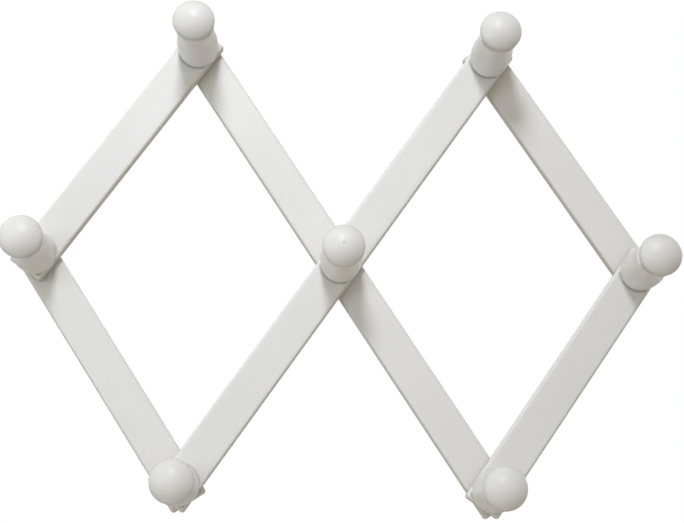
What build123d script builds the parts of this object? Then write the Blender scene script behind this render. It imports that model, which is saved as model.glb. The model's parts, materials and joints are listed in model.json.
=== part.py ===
"""Expandable coat rack: two layers of wooden slats that cross in two diamonds, joined at every crossing by a turned peg.

The wall is the XZ plane at y = 0 and the pegs point along -Y. X runs along the rack and Z is up. The origin is on
the wall, behind the centre peg. All sizes are in millimetres, and a depth is a distance from the wall.
"""

from build123d import *
from math import acos, atan2, cos, hypot, radians, sin, tan
import os

os.makedirs("parts", exist_ok=True)

# Slats: flat laths with eased edges. The pitch is the distance between neighbouring pivots on one slat.
pivot_pitch = 190.0
slat_width = 27.0
slat_thickness = 7.5
end_overhang = 13.2
edge_radius = 2.0

# How steeply the front slats climb in the pose that is modelled. The rear slats fall at the same angle.
slat_angle = 55.8

# Clearances between the two layers, round everything that turns, round a screw head and at the ends of holes.
layer_gap = 0.1
running_clearance = 0.05
head_clearance = 0.15
end_gap = 0.2

# Peg: a barrel that eases from a belly into a neck and flares to a shoulder, a groove and a flattened ball, turned in
# one piece with the tenon that fills the front slat. Heights are measured from the front slat's face.
tenon_diameter = 10.0
base_diameter = 28.0
base_round = 1.2
belly_diameter = 29.2
belly_height = 12.0
neck_diameter = 25.4
neck_height = 33.0
shoulder_diameter = 27.6
shoulder_round = 1.0
barrel_length = 45.0
groove_depth = 4.2
groove_width = 1.2
ball_diameter = 29.0
ball_round = 3.0
ball_front = 9.0
ball_back = 6.3

# Wood screw: a countersunk head with a cross recess, set just below the back of the rear slat.
screw_diameter = 4.2
screw_length = 30.0
point_length = 5.0
head_diameter = 8.2
head_half_angle = 45.0
head_rim = 0.5
head_setback = 0.3
recess_span = 4.4
recess_slot = 1.0
recess_depth = 1.8

# The two layers, from the wall outwards.
front_back = slat_thickness + layer_gap
front_face = front_back + slat_thickness

# The pivots as (x, z). Along a slat, each pivot is one run across and one rise up or down from the last.
run = pivot_pitch * cos(radians(slat_angle))
rise = pivot_pitch * sin(radians(slat_angle))
pivots = {
    "left": (-2 * run, 0),
    "top_left": (-run, rise),
    "bottom_left": (-run, -rise),
    "centre": (0, 0),
    "top_right": (run, rise),
    "bottom_right": (run, -rise),
    "right": (2 * run, 0),
}

# The pivots that each slat carries, from left to right.
front_slats = {
    "front_left_slat": ["left", "top_left"],
    "front_long_slat": ["bottom_left", "centre", "top_right"],
    "front_right_slat": ["bottom_right", "right"],
}
rear_slats = {
    "rear_left_slat": ["left", "bottom_left"],
    "rear_long_slat": ["top_left", "centre", "bottom_right"],
    "rear_right_slat": ["top_right", "right"],
}


def pivot_plane(pivot, depth):
    """Plane across a pivot's axis, facing out of the wall."""
    x, z = pivots[pivot]
    return Plane(origin=(x, -depth, z), x_dir=(1, 0, 0), z_dir=(0, -1, 0))


def turning_plane(pivot):
    """Plane through a pivot's axis, with the radius along its X and the depth along its Y."""
    x, z = pivots[pivot]
    return Plane(origin=(x, 0, z), x_dir=(1, 0, 0), z_dir=(0, 0, -1))


def turning_axis(pivot):
    """A pivot's axis, out of the wall."""
    x, z = pivots[pivot]
    return Axis((x, 0, z), (0, -1, 0))


def slat_plane(stops, depth, angle):
    """Plane of a slat's back, centred between its outer pivots, with its X along the slat."""
    (x0, z0), (x1, z1) = pivots[stops[0]], pivots[stops[-1]]
    along = (cos(radians(angle)), 0, sin(radians(angle)))
    return Plane(origin=((x0 + x1) / 2, -depth, (z0 + z1) / 2), x_dir=along, z_dir=(0, -1, 0))


def slat_length(stops):
    return (len(stops) - 1) * pivot_pitch + 2 * end_overhang


# Front slats: each hole takes a peg's tenon.
for name, stops in front_slats.items():
    with BuildPart() as slat:
        with BuildSketch(slat_plane(stops, front_back, slat_angle)):
            Rectangle(slat_length(stops), slat_width)
        extrude(amount=slat_thickness)
        fillet(slat.edges(), edge_radius)
        with Locations(*[pivot_plane(stop, front_face) for stop in stops]):
            Hole(tenon_diameter / 2 + running_clearance, slat_thickness)
    slat.part.label = name
    export_step(slat.part, f"parts/{name}.step")

# Rear slats: each hole turns on a screw, and its countersink takes the screw's head, rim and setback included.
sink_radius = head_diameter / 2 + head_clearance + (head_rim + head_setback) * tan(radians(head_half_angle))

for name, stops in rear_slats.items():
    with BuildPart() as slat:
        with BuildSketch(slat_plane(stops, 0, -slat_angle)):
            Rectangle(slat_length(stops), slat_width)
        extrude(amount=slat_thickness)
        fillet(slat.edges(), edge_radius)
        with Locations(*[-pivot_plane(stop, 0) for stop in stops]):
            CounterSinkHole(
                screw_diameter / 2 + running_clearance,
                sink_radius,
                slat_thickness,
                2 * head_half_angle,
            )
    slat.part.label = name
    export_step(slat.part, f"parts/{name}.step")

# Pegs: the profile runs from the pilot hole over the tenon, base, belly, neck, shoulder, groove and ball to the tip. The
# curves of the belly and the neck meet halfway. The ball has a rounded rim, with a dome in front of it and a cone
# behind, and both touch the rim's circle.
pilot_radius = screw_diameter / 2 + running_clearance
pilot_end = head_setback + screw_length + end_gap
tenon_end = front_back + end_gap
belly_depth = front_face + belly_height
neck_depth = front_face + neck_height
shoulder_depth = front_face + barrel_length
groove_radius = shoulder_diameter / 2 - groove_depth
ball_radius = ball_diameter / 2
ball_start = shoulder_depth + groove_width
ball_centre = ball_start + ball_back
peg_tip = ball_centre + ball_front
easing = ((belly_diameter + neck_diameter) / 4, (belly_depth + neck_depth) / 2)

# Where the ball's dome and cone leave the rim's circle.
rim_centre = ball_radius - ball_round
dome_setback = (rim_centre**2 - (ball_front - ball_round) ** 2) / (2 * (ball_front - ball_round))
dome_lean = atan2(dome_setback, rim_centre)
dome_edge = (rim_centre + ball_round * cos(dome_lean), ball_centre + ball_round * sin(dome_lean))
cone_reach = hypot(rim_centre - groove_radius, ball_back)
cone_lean = acos(ball_round / cone_reach) - atan2(ball_back, groove_radius - rim_centre)
cone_edge = (rim_centre + ball_round * cos(cone_lean), ball_centre + ball_round * sin(cone_lean))

for pivot in pivots:
    with BuildPart() as peg:
        with BuildSketch(turning_plane(pivot)) as profile:
            with BuildLine():
                Polyline(
                    (0, pilot_end),
                    (pilot_radius, pilot_end),
                    (pilot_radius, tenon_end),
                    (tenon_diameter / 2, tenon_end),
                    (tenon_diameter / 2, front_face),
                    (base_diameter / 2, front_face),
                )
                TangentArc((belly_diameter / 2, belly_depth), (base_diameter / 2, front_face), tangent=(0, -1))
                TangentArc((belly_diameter / 2, belly_depth), easing, tangent=(0, 1))
                TangentArc((neck_diameter / 2, neck_depth), easing, tangent=(0, -1))
                TangentArc((neck_diameter / 2, neck_depth), (shoulder_diameter / 2, shoulder_depth), tangent=(0, 1))
                Polyline(
                    (shoulder_diameter / 2, shoulder_depth),
                    (groove_radius, shoulder_depth),
                    (groove_radius, ball_start),
                    cone_edge,
                )
                ThreePointArc(cone_edge, (ball_radius, ball_centre), dome_edge)
                TangentArc((0, peg_tip), dome_edge, tangent=(1, 0))
                Line((0, peg_tip), (0, pilot_end))
            make_face()
            corners = profile.vertices()
            fillet(corners.sort_by_distance((base_diameter / 2, front_face))[0], base_round)
            fillet(corners.sort_by_distance((shoulder_diameter / 2, shoulder_depth))[0], shoulder_round)
        revolve(axis=turning_axis(pivot))
    peg.part.label = f"peg_{pivot}"
    export_step(peg.part, f"parts/peg_{pivot}.step")

# Screws: a turned blank with a cross cut into its head. The shank is smooth where the rear slat turns on it.
cone_start = head_setback + head_rim
cone_end = cone_start + (head_diameter - screw_diameter) / 2 / tan(radians(head_half_angle))
screw_end = head_setback + screw_length

for pivot in pivots:
    with BuildPart() as screw:
        with BuildSketch(turning_plane(pivot)):
            with BuildLine():
                Polyline(
                    (0, head_setback),
                    (head_diameter / 2, head_setback),
                    (head_diameter / 2, cone_start),
                    (screw_diameter / 2, cone_end),
                    (screw_diameter / 2, screw_end - point_length),
                    (0, screw_end),
                    close=True,
                )
            make_face()
        revolve(axis=turning_axis(pivot))
        with BuildSketch(pivot_plane(pivot, head_setback)):
            Rectangle(recess_span, recess_slot)
            Rectangle(recess_slot, recess_span)
        extrude(amount=recess_depth, mode=Mode.SUBTRACT)
    screw.part.label = f"screw_{pivot}"
    export_step(screw.part, f"parts/screw_{pivot}.step")
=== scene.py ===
# %% [markdown]
# # An expandable coat rack
#
# Six painted wooden slats cross in two layers, and a turned peg holds them together at each of the seven
# crossings. Pull the ends apart and all the crossings open at once, like a row of scissors.
#
# The solid model is the frame: it says where every piece is and which body carries it. This script makes the
# surfaces that are seen. Each of them is worked out with numpy, from the sizes of the real piece.

# %% Load the frame
import json
import math

import bmesh
import bpy
import numpy as np
from mathutils import Matrix, Vector

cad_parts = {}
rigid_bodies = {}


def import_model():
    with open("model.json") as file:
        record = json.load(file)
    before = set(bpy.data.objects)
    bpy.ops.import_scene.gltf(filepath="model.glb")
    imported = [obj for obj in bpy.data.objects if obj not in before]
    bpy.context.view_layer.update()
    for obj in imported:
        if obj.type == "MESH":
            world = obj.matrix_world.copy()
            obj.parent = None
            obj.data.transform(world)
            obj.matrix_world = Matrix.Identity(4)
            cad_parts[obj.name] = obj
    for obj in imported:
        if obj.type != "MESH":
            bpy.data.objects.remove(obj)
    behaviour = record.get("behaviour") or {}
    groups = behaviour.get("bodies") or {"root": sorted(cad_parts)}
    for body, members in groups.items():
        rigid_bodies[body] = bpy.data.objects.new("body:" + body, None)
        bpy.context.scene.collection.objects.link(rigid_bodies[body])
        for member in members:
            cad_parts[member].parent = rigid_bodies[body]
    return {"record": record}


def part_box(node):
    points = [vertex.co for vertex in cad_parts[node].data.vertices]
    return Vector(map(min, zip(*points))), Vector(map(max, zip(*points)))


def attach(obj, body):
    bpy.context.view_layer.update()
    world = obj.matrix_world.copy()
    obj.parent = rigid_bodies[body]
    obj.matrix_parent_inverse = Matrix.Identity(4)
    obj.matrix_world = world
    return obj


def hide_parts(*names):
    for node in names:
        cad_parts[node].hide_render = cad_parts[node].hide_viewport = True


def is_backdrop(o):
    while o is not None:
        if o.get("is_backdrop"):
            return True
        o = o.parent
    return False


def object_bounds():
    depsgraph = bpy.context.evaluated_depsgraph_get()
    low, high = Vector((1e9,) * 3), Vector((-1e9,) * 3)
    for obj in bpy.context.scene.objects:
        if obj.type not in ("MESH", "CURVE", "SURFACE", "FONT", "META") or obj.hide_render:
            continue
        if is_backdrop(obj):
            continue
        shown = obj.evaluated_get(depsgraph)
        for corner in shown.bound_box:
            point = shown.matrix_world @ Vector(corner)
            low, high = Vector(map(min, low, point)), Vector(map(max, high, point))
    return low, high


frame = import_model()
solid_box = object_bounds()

bodies = frame["record"]["behaviour"]["bodies"]
body_of = {node: body for body, nodes in bodies.items() for node in nodes}
print("pieces", len(body_of), "on bodies", len(bodies))

# %% [markdown]
# ## Where the pivots are
#
# Every peg stands on a pivot, so the middle of a peg's box gives the pivot's place along the wall (x) and its
# height (z). The wall is the plane y = 0 and the pegs point towards -y. Measuring the pivots from the frame,
# and not writing them down again, keeps this script right if the rack is drawn more open or more closed.

# %% Measure the pivots
def pivot_of(node):
    """The middle of a turned piece's box, as (x, z)."""
    low, high = (np.array(corner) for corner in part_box(node))
    return ((low + high) / 2)[[0, 2]]


pivots = {node[len("peg_"):]: pivot_of(node) for node in body_of if node.startswith("peg_")}
for name, (x, z) in sorted(pivots.items()):
    print(f"pivot {name:13s} x {x * 1000:8.2f} mm  z {z * 1000:8.2f} mm")

# %% [markdown]
# ## From a grid of points to a mesh
#
# A surface is a function of two parameters. Sampled on a grid, it is an array of rows x columns x 3, and
# its faces follow from the numbering alone. A piece is made of one or more such patches. Where two patches meet
# they share the same points, so the doubles are merged, which also closes seams and poles. The normals are then
# turned outwards once, on the closed mesh.

# %% Helpers that make a piece
def grid_faces(rows, columns, closed):
    """Quads of a grid numbered row by row: a point, its neighbour in the row, and the two below them.
    In a closed grid the last column's neighbour is the first column."""
    row, column = np.mgrid[0:rows - 1, 0:columns if closed else columns - 1]
    beside = (column + 1) % columns
    start, below = row * columns, (row + 1) * columns
    corners = [start + column, start + beside, below + beside, below + column]
    return np.stack(corners, axis=-1).reshape(-1, 4)


def make_piece(name, patches, smooth_angle=35.0):
    """One object from patches. A patch is (points, closed, marks): a rows x columns x 3 array, whether its
    columns close into a ring, and a dictionary of values per point that the finishes read."""
    counts = np.cumsum([0] + [points.shape[0] * points.shape[1] for points, closed, marks in patches])
    points = np.concatenate([points.reshape(-1, 3) for points, closed, marks in patches])
    faces = np.concatenate([
        grid_faces(points.shape[0], points.shape[1], closed) + start
        for (points, closed, marks), start in zip(patches, counts)
    ])
    mesh = bpy.data.meshes.new(name)
    mesh.vertices.add(len(points))
    mesh.vertices.foreach_set("co", points.astype(np.float32).ravel())
    mesh.loops.add(faces.size)
    mesh.loops.foreach_set("vertex_index", faces.astype(np.int32).ravel())
    mesh.polygons.add(len(faces))
    mesh.polygons.foreach_set("loop_start", np.arange(0, faces.size, 4, dtype=np.int32))
    mesh.update(calc_edges=True)

    for mark in patches[0][2]:
        values = np.concatenate([marks[mark].reshape(points.shape[0] * points.shape[1], -1)
                                 for points, closed, marks in patches]).astype(np.float32)
        kind, field = ("FLOAT_VECTOR", "vector") if values.shape[1] == 3 else ("FLOAT", "value")
        mesh.attributes.new(mark, kind, "POINT").data.foreach_set(field, values.ravel())

    shell = bmesh.new()
    shell.from_mesh(mesh)
    bmesh.ops.remove_doubles(shell, verts=shell.verts, dist=1e-6)
    bmesh.ops.recalc_face_normals(shell, faces=shell.faces)
    open_edges = sum(not edge.is_manifold for edge in shell.edges)
    shell.to_mesh(mesh)
    shell.free()
    mesh.shade_smooth()
    mesh.set_sharp_from_angle(angle=math.radians(smooth_angle))

    piece = bpy.data.objects.new(name, mesh)
    bpy.context.scene.collection.objects.link(piece)
    print(f"{name:22s} {len(mesh.polygons):6d} faces, {open_edges} open edges")
    return piece


def stand_for(piece, node):
    """The piece takes the place of a solid and rides on the same body."""
    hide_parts(node)
    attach(piece, body_of[node])


# %% [markdown]
# ## The pegs
#
# A peg is turned on a lathe from one piece of wood: a tenon that fills the hole in the front slat, a barrel
# that eases from a belly into a neck and flares to a shoulder, a groove, and a flattened ball that keeps a coat
# loop from sliding off. A lathe makes a surface of revolution, so a peg is a profile (radius, depth from the
# wall) carried round its axis. The profile is made of lines and circle arcs that touch each other, as a turner's
# gauge would have them.

# %% Sizes of a peg, in metres
front_face = 0.0151
tenon_radius = 0.0050
base_radius, base_round = 0.0140, 0.0012
belly_radius, belly_depth = 0.0146, front_face + 0.0120
neck_radius, neck_depth = 0.0127, front_face + 0.0330
shoulder_radius, shoulder_depth, shoulder_round = 0.0138, front_face + 0.0450, 0.0010
groove_radius, groove_width = shoulder_radius - 0.0042, 0.0012
ball_radius, ball_round, ball_front, ball_back = 0.0145, 0.0030, 0.0090, 0.0063
ball_start = shoulder_depth + groove_width
ball_depth = ball_start + ball_back
pilot_radius, pilot_end, tenon_end = 0.00215, 0.0305, 0.0078
print(f"a peg ends {1000 * (ball_depth + ball_front):.2f} mm from the wall")

# %% The peg's profile
def arc(radius, depth, size, start, end, count):
    """Points of a circle arc: centre (radius, depth) plus size times (cos a, sin a), a from start to end."""
    a = np.linspace(start, end, count)
    return np.stack([radius + size * np.cos(a), depth + size * np.sin(a)], axis=-1)


def line(first, last, count):
    """Points spaced evenly from first to last."""
    return np.linspace(first, last, count)


def base_arcs():
    """From the base to the belly, with the base's corner rounded.
    The large circle is tangent to the axis' direction at the belly and runs through the base point: with a drop
    d in radius over a length l, its radius is (d^2 + l^2) / 2d. The corner's circle lies inside it and touches
    the end face, so its centre is one corner radius from the face and (large - corner) from the large centre."""
    drop, length = belly_radius - base_radius, belly_depth - front_face
    large = (drop**2 + length**2) / (2 * drop)
    reach = base_round - length
    corner = belly_radius - large + math.sqrt((large - base_round)**2 - reach**2)
    touch = math.atan2(reach, corner - belly_radius + large)
    return np.concatenate([
        arc(corner, front_face + base_round, base_round, -math.pi / 2, touch, 12),
        arc(belly_radius - large, belly_depth, large, touch, 0, 14)[1:],
    ])


def easing_arcs():
    """From the belly to the neck: two equal circles, one inside and one outside, that touch halfway.
    Each takes half the drop over half the length, so the same rule gives their radius."""
    drop, length = (belly_radius - neck_radius) / 2, (neck_depth - belly_depth) / 2
    large = (drop**2 + length**2) / (2 * drop)
    lean = math.asin(length / large)
    return np.concatenate([
        arc(belly_radius - large, belly_depth, large, 0, lean, 16),
        arc(neck_radius + large, neck_depth, large, math.pi + lean, math.pi, 16)[1:],
    ])


def shoulder_arcs():
    """From the neck to the shoulder's end face: an outside circle that flares, by the same rule once more, and
    a rounded corner. The two circles touch from outside, so their centres are (large + corner) apart."""
    drop, length = shoulder_radius - neck_radius, shoulder_depth - neck_depth
    large = (drop**2 + length**2) / (2 * drop)
    reach = length - shoulder_round
    corner = neck_radius + large - math.sqrt((large + shoulder_round)**2 - reach**2)
    lean = math.asin(reach / (large + shoulder_round))
    return np.concatenate([
        arc(neck_radius + large, neck_depth, large, math.pi, math.pi - lean, 12),
        arc(corner, shoulder_depth - shoulder_round, shoulder_round, -lean, math.pi / 2, 12)[1:],
    ])


def ball_arcs():
    """From the groove to the tip: a cone, the rim's circle and a dome.
    The dome's centre is on the axis, set back so far that it touches the rim's circle from outside: with the
    rim's centre at radius c and f the part of the front beyond the rim's radius, the setback is (c^2 - f^2) / 2f.
    The cone leaves the rim where its line from the groove is tangent: acos(rim radius / distance) from the line
    between the two."""
    rim, front = ball_radius - ball_round, ball_front - ball_round
    setback = (rim**2 - front**2) / (2 * front)
    dome_lean = math.atan2(setback, rim)
    reach = math.hypot(rim - groove_radius, ball_back)
    cone_lean = math.acos(ball_round / reach) - math.atan2(ball_back, groove_radius - rim)
    edge = arc(rim, ball_depth, ball_round, cone_lean, dome_lean, 26)
    dome = ball_front + setback
    near_tip = math.pi / 2 - 0.13
    return np.concatenate([
        line((groove_radius, ball_start), edge[0], 8),
        edge[1:],
        arc(0, ball_depth - setback, dome, dome_lean, near_tip, 34)[1:],
        arc(0, ball_depth - setback, dome, near_tip, math.pi / 2, 20)[1:],
    ])


peg_profile = np.concatenate([
    line((0, pilot_end), (pilot_radius, pilot_end), 2),
    line((pilot_radius, pilot_end), (pilot_radius, tenon_end), 12)[1:],
    line((pilot_radius, tenon_end), (tenon_radius, tenon_end), 3)[1:],
    line((tenon_radius, tenon_end), (tenon_radius, front_face), 6)[1:],
    line((tenon_radius, front_face), base_arcs()[0], 6)[1:],
    base_arcs()[1:],
    easing_arcs()[1:],
    shoulder_arcs()[1:],
    line(shoulder_arcs()[-1], (groove_radius, shoulder_depth), 4)[1:],
    line((groove_radius, shoulder_depth), (groove_radius, ball_start), 4)[1:],
    ball_arcs()[1:],
])
print("points in the profile", len(peg_profile), "widest", f"{2000 * peg_profile[:, 0].max():.2f} mm")

# %% [markdown]
# The lathe's centre leaves a small dimple in the end of a ball. Filler and paint have closed it on six pegs, and
# on the middle one a shallow mark is left.
#
# Marks per point go with the surface, and the paint reads them. `groove` is one inside the groove and against the
# slat, for a painted shade there. `dimple` is one in the lathe mark. `rim` is one round the ball's widest part, for
# a painted shade. `crest` is one on the shoulder's corner, for a painted highlight, and another mark is one on top
# of the balls, for a painted shade there. The lower pegs and the left one get little of that shade on top.

# %% Turn the pegs
turn_angle = np.linspace(0, 2 * math.pi, 144, endpoint=False)


def turned(profile, pivot):
    """A surface of revolution: the point at radius r and depth d goes to (x + r cos a, -d, z + r sin a)."""
    radius, depth = profile[:, :1], profile[:, 1:]
    return np.stack([
        pivot[0] + radius * np.cos(turn_angle),
        np.repeat(-depth, len(turn_angle), axis=1),
        pivot[1] + radius * np.sin(turn_angle),
    ], axis=-1)


def bell_curve(value, middle, width):
    """One at the middle and 1/e at one width from it: exp(-((value - middle) / width)^2)."""
    return np.exp(-((value - middle) / width)**2)


def soft_step(value):
    """0 below 0, 1 above 1, and 3 t^2 - 2 t^3 between."""
    t = np.clip(value, 0, 1)
    return t * t * (3 - 2 * t)


# The groove, joint and rim widths set painted shade rings; the crest width and depth set a painted highlight ring.
dimple_width, groove_shade_width, joint_shade_width, rim_shade_width, shoulder_highlight_width = 0.0008, 0.0009, 0.0008, 0.0018, 0.0008
rim_shade_depth, shoulder_highlight_depth = ball_depth - 0.0002, shoulder_depth - 0.0009
ring_margin = 0.0012
# Painted shade on top of the balls, where the normal points up.
top_shade_slope, top_shade_fade = 0.35, 0.55


def peg_patch(pivot, mark_depth, top_shade_amount):
    """A peg's surface with a lathe mark: the tip sinks by mark_depth times a bell curve of the radius.
    A painted shade lies on top of the ball where its normal points up: its part along the radius times the sine of
    the angle."""
    profile = peg_profile.copy()
    radius, depth = peg_profile.T
    dimple = bell_curve(radius, 0, dimple_width) * (depth > ball_depth)
    profile[:, 1] = depth - mark_depth * dimple
    # Painted shade inside the groove and at the joint with the slat.
    in_groove = bell_curve(depth, shoulder_depth + groove_width / 2, groove_shade_width)
    in_groove = in_groove * (radius < groove_radius + ring_margin)
    rings = {
        "groove": np.maximum(in_groove, bell_curve(depth, front_face, joint_shade_width)),
        "dimple": dimple * (mark_depth > 0),
        "rim": bell_curve(depth, rim_shade_depth, rim_shade_width) * (radius > ball_radius - ball_round),
        "crest": bell_curve(depth, shoulder_highlight_depth, shoulder_highlight_width) * (radius > shoulder_radius - ring_margin),
    }
    marks = {mark: np.repeat(ring[:, None], len(turn_angle), axis=1) for mark, ring in rings.items()}

    slope = np.gradient(profile, axis=0)
    sideways = slope[:, 1] / np.maximum(np.hypot(slope[:, 0], slope[:, 1]), 1e-9) * (depth > ball_start)
    upwards = sideways[:, None] * np.sin(turn_angle)
    marks["top_shade"] = top_shade_amount * soft_step((upwards - top_shade_slope) / top_shade_fade)
    return turned(profile, pivot), True, marks


pegs = {}
for name, pivot in pivots.items():
    mark_depth = 0.00025 if name == "centre" else 0.0
    # The lower pegs and the left one get little painted shade on top.
    top_shade_amount = 0.1 if name.startswith("bottom") or name == "left" else 1.0
    pegs[name] = make_piece(f"turned_peg_{name}", [peg_patch(pivot, mark_depth, top_shade_amount)])
    stand_for(pegs[name], f"peg_{name}")

# %% [markdown]
# ## The slats
#
# A slat is a flat lath with holes, and all its edges are eased with sandpaper. A boolean cut would leave long
# thin faces round the holes, so each pivot gets a rectangular cell instead: points on the hole's circle are
# joined to points on the rectangle by straight lines. Plain strips fill the length between the cells, and one
# band is carried round the outline for the edges. All patches share their boundary points.

# %% Sizes of a slat, in metres
slat_width, slat_thickness, edge_radius = 0.0270, 0.0075, 0.0020
end_overhang = 0.0132
front_hole = 0.00505
rear_hole, sink_radius = 0.00215, 0.00505
half_flat = slat_width / 2 - edge_radius
half_cell, cell_points = 0.0100, 17
across = np.linspace(-half_flat, half_flat, cell_points)
along_cell = np.linspace(-half_cell, half_cell, cell_points)
slat_stops = {
    "front_left_slat": ("left", "top_left"),
    "front_long_slat": ("bottom_left", "centre", "top_right"),
    "front_right_slat": ("bottom_right", "right"),
    "rear_left_slat": ("left", "bottom_left"),
    "rear_long_slat": ("top_left", "centre", "bottom_right"),
    "rear_right_slat": ("top_right", "right"),
}
print("slats", len(slat_stops), "flat part", f"{2000 * half_flat:.1f} mm wide")

# %% Patches of a slat, in its own coordinates (along, across, height from its back)
def level(plane, height):
    """A grid of (along, across) points lifted to one height."""
    return np.concatenate([plane, np.full(plane.shape[:-1] + (1,), height)], axis=-1)


def cell_ring(centre):
    """Points round a rectangular cell in order, and their direction from its middle."""
    side, length = across[:-1], along_cell[:-1]
    end, edge = np.full_like(side, half_cell), np.full_like(side, half_flat)
    ring = np.concatenate([
        np.stack([end, side], -1), np.stack([-length, edge], -1),
        np.stack([-end, -side], -1), np.stack([length, -edge], -1),
    ])
    return ring + (centre, 0), ring / np.linalg.norm(ring, axis=1, keepdims=True)


def hole_cell(centre, radius, height):
    """The face round a hole: (1 - t) times the circle point plus t times the cell's point, t from 0 to 1.
    A power crowds the rings towards the hole."""
    ring, direction = cell_ring(centre)
    circle = (centre, 0) + radius * direction
    t = np.linspace(0, 1, 8)[:, None, None]**1.3
    return level((1 - t) * circle + t * ring, height)


def hole_wall(centre, wall):
    """The inside of a hole: its profile (radius, height) carried round the circle points."""
    direction = cell_ring(centre)[1]
    radius, height = np.array(wall).T
    plane = np.array((centre, 0)) + radius[:, None, None] * direction
    return np.concatenate([plane, np.broadcast_to(height[:, None, None], plane.shape[:-1] + (1,))], axis=-1)


def strip(first, last, height):
    """A plain rectangle between two cells, in steps of about 4 mm."""
    steps = max(2, int(round((last - first) / 0.004)))
    u, v = np.meshgrid(np.linspace(first, last, steps + 1), across, indexing="ij")
    return level(np.stack([u, v], -1), height)


def edge_band(along, ease):
    """The eased edge, carried round the outline. A point is the outline of the flat part, pushed outwards by o
    and set to height h, where (o, h) follows a quarter circle, the straight side and another quarter circle.
    At the corners the outline stands still while its normal turns, which makes them parts of a ball. ease takes
    a little more off the two quarter circles, by an amount that wanders along the edge as sanding does."""
    turn = np.linspace(0, math.pi / 2, 7)[1:-1]
    sides = [
        (np.stack([along, np.full_like(along, -half_flat)], -1), -math.pi / 2),
        (np.stack([np.full_like(across, along[-1]), across], -1), 0.0),
        (np.stack([along[::-1], np.full_like(along, half_flat)], -1), math.pi / 2),
        (np.stack([np.full_like(across, along[0]), across[::-1]], -1), math.pi),
    ]
    base = np.concatenate([np.concatenate([side, np.repeat(side[-1:], len(turn), 0)]) for side, angle in sides])
    angle = np.concatenate([np.concatenate([np.full(len(side), angle), angle + turn]) for side, angle in sides])
    normal = np.stack([np.cos(angle), np.sin(angle)], -1)
    a = np.linspace(0, math.pi / 2, 9)
    flat_side = np.linspace(slat_thickness - edge_radius, edge_radius, 5)[1:-1]
    push = np.concatenate([np.sin(a), np.ones_like(flat_side), np.cos(a)]) * edge_radius
    height = np.concatenate([
        slat_thickness - edge_radius * (1 - np.cos(a)), flat_side, edge_radius * (1 - np.sin(a)),
    ])
    arris = np.concatenate([np.sin(2 * a), np.zeros_like(flat_side), np.sin(2 * a)])**2
    taken = arris[:, None] * ease(base)[None, :]
    plane = base + (push[:, None] - taken)[..., None] * normal
    lifted = height[:, None] - np.sign(height - slat_thickness / 2)[:, None] * taken
    return np.concatenate([plane, lifted[..., None]], -1), np.repeat(arris[:, None], len(base), 1)


# %% [markdown]
# Every point also keeps the values that the paint needs. `grain` is its place along, across and through the
# slat, so the grain runs with the wood whichever way the slat leans. `arris` is one on the eased edges,
# `back_edge_shade` on the rear part of the edges, `lower_edge_shade` on the lower edges and ends, `warm_shade`
# where a front slat usually covers a rear one, `bare` inside the holes, which were drilled after painting, and
# `seat` on the faces that the pegs stand on. `reach` is the distance to the nearest pivot. The marks on the rear
# part of the edges, on the lower edges and ends and near the crossings carry painted shade.

# %% Cut and place the slats
least_ease, ease_swing = 0.00002, 0.00004
# Painted shade: a dark line on the rear part of each slat's edges.
back_shade_share, back_shade_fade = 0.45, 0.22
# Painted shade on the lower edges and the lower ends.
lower_shade_share, lower_shade_fade = 1.0, 0.13
# Painted warm shade round the crossings of the rear slats.
warm_shade_reach, warm_shade_fade = 0.034, 0.012
grain_shift = np.array((0.7, 0.11, 0))
rounding = 1e-7


def sanding(seed):
    """How much more an edge is eased: 0.02 to 0.10 mm, a sum of three waves along and across the slat."""
    phase = np.random.default_rng(seed).uniform(0, 2 * math.pi, 3)

    def ease(place):
        wave = (np.sin(place[:, 0] * 61 + phase[0]) + np.sin(place[:, 0] * 143 + phase[1])
                + np.sin(place[:, 0] * 307 + place[:, 1] * 90 + phase[2]))
        return ease_swing * (1 + wave / 3) + least_ease
    return ease


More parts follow.
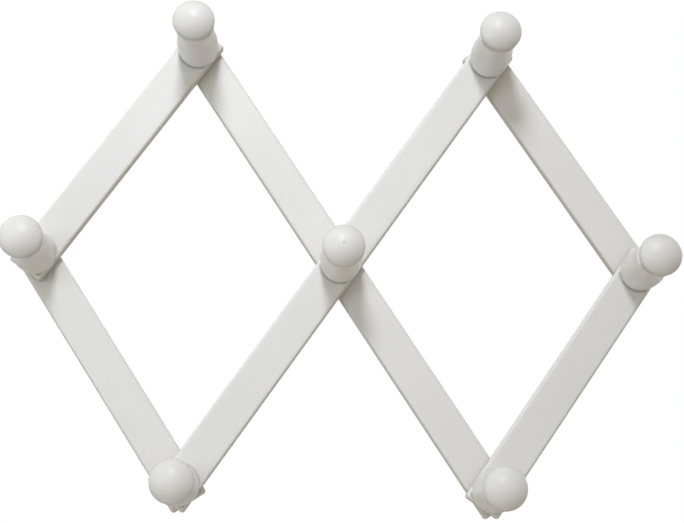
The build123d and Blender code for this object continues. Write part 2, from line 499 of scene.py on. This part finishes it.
def slat_patches(stops, is_front, seed):
    """All patches of one slat, moved to its place: middle + along * direction + across * side, and the height
    towards -y."""
    first, last = pivots[stops[0]], pivots[stops[-1]]
    length = np.linalg.norm(last - first)
    direction = (last - first) / length
    centres = np.linspace(-length / 2, length / 2, len(stops))
    back = front_face - slat_thickness if is_front else 0.0
    wall = [(front_hole, slat_thickness), (front_hole, 0)] if is_front else [
        (rear_hole, slat_thickness), (rear_hole, sink_radius - rear_hole), (sink_radius, 0)]

    patches, stations = [], []

    def add(points, closed, arris=0.0, bare=0.0):
        blank = np.zeros(points.shape[:2])
        patches.append((points, closed, blank + arris, blank + bare))

    for centre in centres:
        add(hole_cell(centre, wall[0][0], slat_thickness), True)
        add(hole_cell(centre, wall[-1][0], 0), True)
        add(hole_wall(centre, wall), True, bare=1.0)
        stations.append(centre + along_cell)
    end = length / 2 + end_overhang - edge_radius
    starts, stops_at = np.append(-end, centres + half_cell), np.append(centres - half_cell, end)
    for left, right in zip(starts, stops_at):
        for height in (slat_thickness, 0):
            span = strip(left, right, height)
            add(span, False)
        stations.append(span[:, 0, 0])
    along = np.unique(np.round(np.concatenate(stations), 9))
    band, band_arris = edge_band(along, sanding(seed))
    add(band, True, arris=band_arris)

    middle = (first + last) / 2
    placed = []
    for points, closed, arris, bare in patches:
        u, v, h = points[..., 0], points[..., 1], points[..., 2]
        x = middle[0] + u * direction[0] - v * direction[1]
        z = middle[1] + u * direction[1] + v * direction[0]
        reach = np.min(np.hypot(u[..., None] - centres, v[..., None]), axis=-1)
        outer = (np.abs(v) > half_flat - rounding) | (np.abs(u) > end - rounding)
        lower_end = u < -end + rounding if is_front else u > end - rounding
        share = h / slat_thickness
        marks = {
            "grain": points + seed * grain_shift,
            "arris": arris,
            "back_edge_shade": outer * soft_step((back_shade_share - share) / back_shade_fade),
            "lower_edge_shade": outer * soft_step((lower_shade_share - share) / lower_shade_fade) * ((v < 0) | lower_end),
            "warm_shade": (not is_front) * soft_step((warm_shade_reach - reach) / warm_shade_fade),
            "bare": bare,
            "reach": reach,
            "seat": is_front * (h > slat_thickness - rounding),
        }
        placed.append((np.stack([x, -(back + h), z], axis=-1), closed, marks))
    return placed


slats = {}
for seed, (name, stops) in enumerate(slat_stops.items(), start=1):
    slats[name] = make_piece(f"painted_{name}", slat_patches(stops, name.startswith("front"), seed))
    stand_for(slats[name], name)

# %% [markdown]
# ## The screws
#
# A countersunk wood screw comes through each rear slat from behind and holds the peg. A screw is nearly a
# surface of revolution, but its radius also depends on the angle: the thread is a ridge that climbs one pitch per
# turn, and the cross recess sinks the head along two slots. Both are formulas of the angle and the place along
# the profile, so one grid makes the whole screw.

# %% Sizes of a screw, in metres
head_depth, head_radius, head_rim = 0.0003, 0.0041, 0.0005
shank_radius, screw_end, point_length = 0.0021, 0.0303, 0.0050
thread_start, thread_pitch, thread_height = 0.0125, 0.0018, 0.0005
thread_run_in, head_corner = 0.0025, 0.00015
recess_half_span, recess_half_slot, recess_depth, recess_taper = 0.0023, 0.0005, 0.0018, 0.55
cone_end = head_depth + head_rim + head_radius - shank_radius
print(f"screw {1000 * (screw_end - head_depth):.0f} mm long, {len(pivots)} of them")

# %% Turn the screws
def screw_patch(pivot, turn):
    """Head, shank, thread and point on one grid of angle and profile.
    Recess: a point is in a slot if its smaller distance from the two slot lines is under half a slot and its
    larger one under half the span. Thread: the radius drops from the crest by the thread's height times a wave
    of (depth / pitch - angle / turn)."""
    angle = np.linspace(0, 2 * math.pi, 72, endpoint=False)
    fine_radius, face_end = 0.003, head_radius - head_corner
    face_radius = np.concatenate([np.linspace(0, fine_radius, 40), np.linspace(fine_radius, face_end, 6)[1:]])
    profile = np.concatenate([
        np.stack([face_radius, np.full_like(face_radius, head_depth)], -1),
        arc(face_end, head_depth + head_corner, head_corner, -math.pi / 2, 0, 5)[1:],
        line((head_radius, head_depth + head_corner), (head_radius, head_depth + head_rim), 2)[1:],
        line((head_radius, head_depth + head_rim), (shank_radius, cone_end), 6)[1:],
        line((shank_radius, cone_end), (shank_radius, thread_start), 8)[1:],
        line((shank_radius, thread_start), (shank_radius, screw_end - point_length), 90)[1:],
        line((shank_radius, screw_end - point_length), (0, screw_end), 36)[1:],
    ])
    radius = np.repeat(profile[:, :1], len(angle), axis=1)
    depth = np.repeat(profile[:, 1:], len(angle), axis=1)

    one = np.abs(radius * np.cos(angle - turn))
    two = np.abs(radius * np.sin(angle - turn))
    near, far = np.minimum(one, two), np.maximum(one, two)
    in_slot = soft_step((recess_half_slot - near) / 0.0002 + 0.5)
    in_slot = in_slot * soft_step((recess_half_span - far) / 0.0003 + 0.5)
    on_face = np.arange(len(profile))[:, None] < len(face_radius)
    sunk = on_face * in_slot * recess_depth * (1 - recess_taper * far / recess_half_span)

    wave = 0.5 - 0.5 * np.cos(2 * math.pi * (depth / thread_pitch - angle / (2 * math.pi)))
    threaded = soft_step((depth - thread_start) / thread_run_in)
    cut = thread_height * threaded * (1 - wave**3) * np.minimum(radius / shank_radius, 1)
    radius = np.where(on_face, radius, np.maximum(radius - cut, 0))
    x, z = pivot[0] + radius * np.cos(angle), pivot[1] + radius * np.sin(angle)
    return np.stack([x, -(depth + sunk), z], -1), True, {"recess": on_face * in_slot + 0 * radius}


turns = np.random.default_rng(5).uniform(0, math.pi / 2, len(pivots))
for (name, pivot), turn in zip(pivots.items(), turns):
    screw = make_piece(f"wood_screw_{name}", [screw_patch(pivot, turn)], smooth_angle=50)
    stand_for(screw, f"screw_{name}")

# %% [markdown]
# ## Finishes
#
# A finish is a tree of shader nodes. Small helpers keep the trees readable: they start a material, add a node and
# either set its sockets or link them, read a mark, and mix noise, values and colours.

# %% Helpers for finishes
def new_finish(name):
    """A material's tree with its surface shader, ready for nodes."""
    material = bpy.data.materials.new(name)
    material.use_nodes = True
    tree = material.node_tree
    return material, tree, tree.nodes["Principled BSDF"]


def put(tree, kind, sockets=None, **settings):
    """Adds a node. A socket gets either a value or a link from another node's socket."""
    node = tree.nodes.new(kind)
    for key, value in settings.items():
        setattr(node, key, value)
    for key, value in (sockets or {}).items():
        if isinstance(value, bpy.types.NodeSocket):
            tree.links.new(value, node.inputs[key])
        else:
            node.inputs[key].default_value = value
    return node


def mark_of(tree, name):
    """A value per point that the mesh carries."""
    return put(tree, "ShaderNodeAttribute", attribute_name=name)


def noise_on(tree, vector, scale, detail=3.0, roughness=0.55):
    """Noise on coordinates stretched by scale, which counts features per metre in each direction."""
    stretched = put(tree, "ShaderNodeMapping", {"Vector": vector, "Scale": scale})
    return put(tree, "ShaderNodeTexNoise", {
        "Vector": stretched.outputs["Vector"], "Scale": 1.0, "Detail": detail, "Roughness": roughness,
    }).outputs["Fac"]


def ramp(tree, value, low, high, to_low=0.0, to_high=1.0):
    """Maps a value from low..high to to_low..to_high, clamped."""
    return put(tree, "ShaderNodeMapRange", {
        "Value": value, "From Min": low, "From Max": high, "To Min": to_low, "To Max": to_high,
    }).outputs["Result"]


def times(tree, first, second):
    """The product of two values."""
    return put(tree, "ShaderNodeMath", {0: first, 1: second}, operation="MULTIPLY").outputs[0]


def plus(tree, first, second):
    """The sum of two values."""
    return put(tree, "ShaderNodeMath", {0: first, 1: second}, operation="ADD").outputs[0]


def larger(tree, first, second):
    """The larger of two values."""
    return put(tree, "ShaderNodeMath", {0: first, 1: second}, operation="MAXIMUM").outputs[0]


def blend_colours(tree, amount, first, second):
    """The first colour where amount is 0 and the second where it is 1."""
    return put(tree, "ShaderNodeMix", {"Factor": amount, 6: first, 7: second}, data_type="RGBA").outputs[2]


def relief(tree, height, depth, after=None):
    """A bump of that depth in metres, on top of an earlier one."""
    sockets = {"Height": height, "Distance": depth, "Strength": 1.0}
    if after is not None:
        sockets["Normal"] = after
    return put(tree, "ShaderNodeBump", sockets).outputs["Normal"]


# %% [markdown]
# ### The slats' paint
#
# The slats are white satin paint over sanded wood. Paint this thick hides the colour of the wood, not its shape:
# the grain shows through as long low ridges and the brush leaves finer ones along the slat. The eased edges are
# painted a little whiter, a painted highlight. The lower edges and the lower ends are painted beige-grey, a painted
# shade. The rear part of the edges is painted dark, a painted shade that makes a dark line along each slat's back.
#
# Near the crossings the rear slats are painted a little warmer, a painted warm shade. The neighbouring slat rubs
# faint arcs round each pivot as the rack opens, and a thin dark ring round each peg's base is painted contact
# shade.
# Inside the holes the wood is bare.

# %% Slat paint
slat_paint, tree, shader = new_finish("slat_paint")
grain = mark_of(tree, "grain").outputs["Vector"]
arris, back_edge_shade, lower_edge_shade, warm_shade, bare, reach, seat = (
    mark_of(tree, mark).outputs["Fac"] for mark in ("arris", "back_edge_shade", "lower_edge_shade", "warm_shade", "bare", "reach", "seat")
)

clouds = noise_on(tree, grain, (16, 40, 40), detail=2)
ridges = noise_on(tree, grain, (9, 330, 330), detail=4)
brush = noise_on(tree, grain, (22, 1500, 1500), detail=2)
specks = noise_on(tree, grain, (900, 900, 900), detail=1)

white = blend_colours(tree, ramp(tree, clouds, 0.3, 0.7), (0.795, 0.795, 0.775, 1), (0.825, 0.827, 0.812, 1))
white = blend_colours(tree, ramp(tree, ridges, 0.52, 0.75, 0, 0.3), white, (0.755, 0.752, 0.728, 1))
white = blend_colours(tree, ramp(tree, specks, 0.70, 0.78, 0, 0.5), white, (0.66, 0.645, 0.61, 1))
# Painted warm shade near the crossings of the rear slats.
warm_shaded = times(tree, warm_shade, ramp(tree, clouds, 0.3, 0.7, 0.12, 0.25))
white = blend_colours(tree, warm_shaded, white, (0.76, 0.70, 0.60, 1))
# Painted highlight: the eased edges are painted whiter.
edge_highlight = times(tree, arris, ramp(tree, noise_on(tree, grain, (130, 400, 400)), 0.42, 0.62, 0.1, 0.75))
white = blend_colours(tree, edge_highlight, white, (0.88, 0.88, 0.865, 1))
# Painted shade: the lower edges and the lower ends are painted beige-grey.
lower_shaded = times(tree, lower_edge_shade, ramp(tree, noise_on(tree, grain, (25, 200, 200)), 0.3, 0.7, 0.45, 0.75))
white = blend_colours(tree, lower_shaded, white, (0.58, 0.53, 0.45, 1))
# Painted shade: a dark line along the rear part of the edges.
back_shaded = times(tree, back_edge_shade, ramp(tree, noise_on(tree, grain, (35, 200, 200)), 0.3, 0.7, 0.75, 1.0))
white = blend_colours(tree, back_shaded, white, (0.20, 0.195, 0.182, 1))
# Painted contact shade: a thin dark ring on the front face round each peg's base.
ring = times(tree, ramp(tree, reach, 0.0134, 0.0138), ramp(tree, reach, 0.0143, 0.0162, 0.55, 0))
white = blend_colours(tree, times(tree, seat, ring), white, (0.34, 0.32, 0.29, 1))
wood = blend_colours(tree, ramp(tree, ridges, 0.35, 0.65), (0.42, 0.27, 0.14, 1), (0.60, 0.43, 0.26, 1))
colour = blend_colours(tree, bare, white, wood)
tree.links.new(colour, shader.inputs["Base Color"])

arcs = put(tree, "ShaderNodeCombineXYZ", {"X": reach}).outputs["Vector"]
rub_wear_and_rim_shade = times(tree, noise_on(tree, arcs, (1500, 1, 1), detail=3), ramp(tree, reach, 0.016, 0.060, 1, 0))
dull = plus(tree, ramp(tree, brush, 0.3, 0.7, 0.36, 0.46), times(tree, rub_wear_and_rim_shade, 0.10))
dull = plus(tree, dull, times(tree, bare, 0.35))
tree.links.new(dull, shader.inputs["Roughness"])

normal = relief(tree, ridges, 0.00010)
normal = relief(tree, brush, 0.00003, normal)
normal = relief(tree, ramp(tree, specks, 0.70, 0.78), 0.00004, normal)
tree.links.new(normal, shader.inputs["Normal"])
shader.inputs["Specular IOR Level"].default_value = 0.35
for slat in slats.values():
    slat.data.materials.append(slat_paint)
print("slat paint:", len(tree.nodes), "nodes")

# %% [markdown]
# ### The pegs' paint
#
# The same paint on turned wood looks smoother, because the wood was sanded while it spun. What is left of the
# tool are very fine rings round the axis. The noise is therefore stretched the other way: it changes quickly along
# the axis (y) and hardly at all across it. The pegs stand far apart, so no two get the same rings. The tops of the
# balls get a painted shade, the rim a grey painted shade and the shoulder's corner a whiter painted highlight. A
# painted shade darkens the groove and the joint with the slat, and dirt darkens the lathe mark.

# %% Peg paint
peg_paint, tree, shader = new_finish("peg_paint")
place = put(tree, "ShaderNodeTexCoord").outputs["Object"]
groove, dimple, rim, crest, top_shade = (
    mark_of(tree, mark).outputs["Fac"] for mark in ("groove", "dimple", "rim", "crest", "top_shade")
)

clouds = noise_on(tree, place, (60, 60, 60), detail=2)
rings = noise_on(tree, place, (7, 900, 7), detail=3)
drag = noise_on(tree, place, (420, 45, 420), detail=3)
white = blend_colours(tree, ramp(tree, clouds, 0.3, 0.7), (0.800, 0.801, 0.778, 1), (0.828, 0.830, 0.814, 1))
white = blend_colours(tree, ramp(tree, drag, 0.55, 0.75, 0, 0.35), white, (0.755, 0.752, 0.728, 1))
# Painted shade on the tops of the balls.
top_shaded = times(tree, top_shade, ramp(tree, clouds, 0.3, 0.7, 0.35, 0.55))
white = blend_colours(tree, top_shaded, white, (0.58, 0.575, 0.555, 1))
# Painted highlight: the shoulder's corner is painted whiter.
white = blend_colours(tree, times(tree, crest, 0.8), white, (0.91, 0.908, 0.89, 1))
# Painted shade round the ball's widest part.
rub_wear_and_rim_shade = times(tree, rim, ramp(tree, drag, 0.3, 0.7, 0.45, 0.65))
white = blend_colours(tree, rub_wear_and_rim_shade, white, (0.42, 0.415, 0.40, 1))
# Painted shade in the groove and at the joint with the slat.
white = blend_colours(tree, times(tree, groove, 0.8), white, (0.36, 0.335, 0.30, 1))
white = blend_colours(tree, times(tree, dimple, 0.6), white, (0.45, 0.44, 0.41, 1))
tree.links.new(white, shader.inputs["Base Color"])
tree.links.new(ramp(tree, drag, 0.3, 0.7, 0.35, 0.41), shader.inputs["Roughness"])
normal = relief(tree, rings, 0.00003)
normal = relief(tree, drag, 0.00004, normal)
tree.links.new(normal, shader.inputs["Normal"])
shader.inputs["Specular IOR Level"].default_value = 0.3
for peg in pegs.values():
    peg.data.materials.append(peg_paint)
print("peg paint:", len(tree.nodes), "nodes")

# %% [markdown]
# ### The screws' zinc
#
# Zinc plating is a soft grey metal with a spangle of slightly lighter and duller patches. The recess is darker
# where the plating is thin and a driver has worn it.

# %% Screw zinc
zinc, tree, shader = new_finish("screw_zinc")
place = put(tree, "ShaderNodeTexCoord").outputs["Object"]
recess = mark_of(tree, "recess").outputs["Fac"]
spangle = noise_on(tree, place, (1400, 1400, 1400), detail=3)
metal = blend_colours(tree, ramp(tree, spangle, 0.35, 0.65), (0.50, 0.49, 0.46, 1), (0.68, 0.67, 0.63, 1))
metal = blend_colours(tree, times(tree, recess, 0.7), metal, (0.24, 0.23, 0.21, 1))
tree.links.new(metal, shader.inputs["Base Color"])
tree.links.new(ramp(tree, spangle, 0.3, 0.7, 0.26, 0.42), shader.inputs["Roughness"])
shader.inputs["Metallic"].default_value = 1.0
for piece in bpy.data.objects:
    if piece.name.startswith("wood_screw_"):
        piece.data.materials.append(zinc)
print("zinc:", len(tree.nodes), "nodes")

# %% [markdown]
# ## The studio
#
# The rack hangs in front of white, with nothing behind it. A pale floor lies below, out of the camera's sight, and
# sends some light back up. Seen from elsewhere, the floor's own light makes up for lamps that don't reach it, and
# shadows still show on it. The world is white to the camera and to reflections. As a light it is weaker and warmer,
# which gives the shadows their brown tone while the lit paint stays neutral.

# %% Floor
floor_height, floor_reach, floor_points_across = -0.45, 3.0, 25
spread = np.linspace(-floor_reach, floor_reach, floor_points_across)
across_x, across_y = np.meshgrid(spread, spread, indexing="ij")
floor_points = np.stack([across_x, across_y, np.full_like(across_x, floor_height)], -1)
floor_mesh = bpy.data.meshes.new("floor")
floor_faces = grid_faces(floor_points_across, floor_points_across, False)
floor_mesh.from_pydata(floor_points.reshape(-1, 3).tolist(), [], floor_faces.tolist())
floor = bpy.data.objects.new("floor", floor_mesh)
bpy.context.scene.collection.objects.link(floor)
floor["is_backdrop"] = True

floor_paint, tree, shader = new_finish("floor_paint")
place = put(tree, "ShaderNodeTexCoord").outputs["Object"]
mottle = noise_on(tree, place, (3, 3, 3), detail=2)
pale = blend_colours(tree, ramp(tree, mottle, 0.3, 0.7), (0.78, 0.75, 0.71, 1), (0.82, 0.79, 0.75, 1))
tree.links.new(pale, shader.inputs["Base Color"])
shader.inputs["Roughness"].default_value = 0.8
bright = put(tree, "ShaderNodeEmission", {"Color": (0.90, 0.89, 0.87, 1), "Strength": 1.0})
looked_at = times(tree, put(tree, "ShaderNodeLightPath").outputs["Is Camera Ray"], 0.65)
mixed = put(tree, "ShaderNodeMixShader", {
    0: looked_at, 1: shader.outputs["BSDF"], 2: bright.outputs["Emission"],
})
tree.links.new(mixed.outputs["Shader"], tree.nodes["Material Output"].inputs["Surface"])
floor_mesh.materials.append(floor_paint)
print("floor at", floor_height, "m")

# %% World
world = bpy.data.worlds.new("studio")
bpy.context.scene.world = world
world.use_nodes = True
tree = world.node_tree
tree.nodes.clear()
path = put(tree, "ShaderNodeLightPath")
seen = larger(tree, path.outputs["Is Camera Ray"], path.outputs["Is Glossy Ray"])
seen = larger(tree, seen, path.outputs["Is Transmission Ray"])
room = put(tree, "ShaderNodeBackground", {"Color": (1.0, 0.935, 0.84, 1), "Strength": 0.43})
backdrop = put(tree, "ShaderNodeBackground", {"Color": (1, 1, 1, 1), "Strength": 1.0})
either = put(tree, "ShaderNodeMixShader", {
    "Fac": seen, 1: room.outputs["Background"], 2: backdrop.outputs["Background"],
})
put(tree, "ShaderNodeOutputWorld", {"Surface": either.outputs["Shader"]})
print("world set")

# %% [markdown]
# The key lamp hangs in front of the rack and above it, so each peg's shadow falls straight down. It is small
# enough for the shadows to have an edge. A large soft lamp on the left shapes the barrels and makes the left half
# brighter.

# %% Lamps
def soft_lamp(name, place, target, width, height, watts, colour, spread):
    """A rectangular lamp that faces its target. A narrow spread keeps its light on the rack and off the floor."""
    data = bpy.data.lights.new(name, "AREA")
    data.shape, data.size, data.size_y, data.spread = "RECTANGLE", width, height, math.radians(spread)
    data.energy, data.color = watts, colour
    lamp = bpy.data.objects.new(name, data)
    lamp.location = place
    lamp.rotation_euler = (Vector(target) - Vector(place)).to_track_quat("-Z", "Y").to_euler()
    lamp.visible_camera = False
    bpy.context.scene.collection.objects.link(lamp)
    return lamp


soft_lamp("key_lamp", place=(-0.14, -1.00, 0.80), target=(-0.05, 0, 0), width=0.24, height=0.4,
          watts=1.72, colour=(0.89, 0.93, 1.0), spread=80)
soft_lamp("window_lamp", place=(-0.84, -0.60, -0.04), target=(-0.12, -0.02, 0), width=0.5, height=0.5,
          watts=0.72, colour=(0.84, 0.93, 1.0), spread=110)

# %% [markdown]
# ## The camera
#
# The picture was taken from a little below the rack. The camera's place and axes were found by fitting the solid
# model's outline to the rack's, so no shift is needed. The lens follows from the distance at which the fit holds:
# 1254.6 pixels in a picture 684 pixels wide.

# %% Camera
focal_pixels, picture_pixels, sensor_width = 1254.6, 684, 36
camera_place = (-0.03415, -0.87928, -0.19646)
right = Vector((0.998809, -0.045055, 0.018737))
up = Vector((-0.028292, -0.221879, 0.974664))
forward = Vector((0.039756, 0.974033, 0.222889))
camera = bpy.data.objects.new("camera", bpy.data.cameras.new("camera"))
bpy.context.scene.collection.objects.link(camera)
axes = Matrix((right, up, -forward)).transposed()
camera.matrix_world = Matrix.Translation(camera_place) @ axes.to_4x4()
camera.data.sensor_width = sensor_width
camera.data.lens = focal_pixels / picture_pixels * sensor_width
bpy.context.scene.camera = camera
bpy.context.scene.view_settings.view_transform = "Standard"
print(f"camera lens {camera.data.lens:.1f} mm")

# %% [markdown]
# ## Sizes
#
# Both boxes, of the solids and of the surfaces, are printed side by side. The surfaces may not make the rack
# any bigger than its solids are.

# %% Print both boxes
dressed_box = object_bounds()
for name, box in (("solid", solid_box), ("dressed", dressed_box)):
    print(name, [round(1000 * (high - low), 2) for low, high in zip(*box)], "mm")
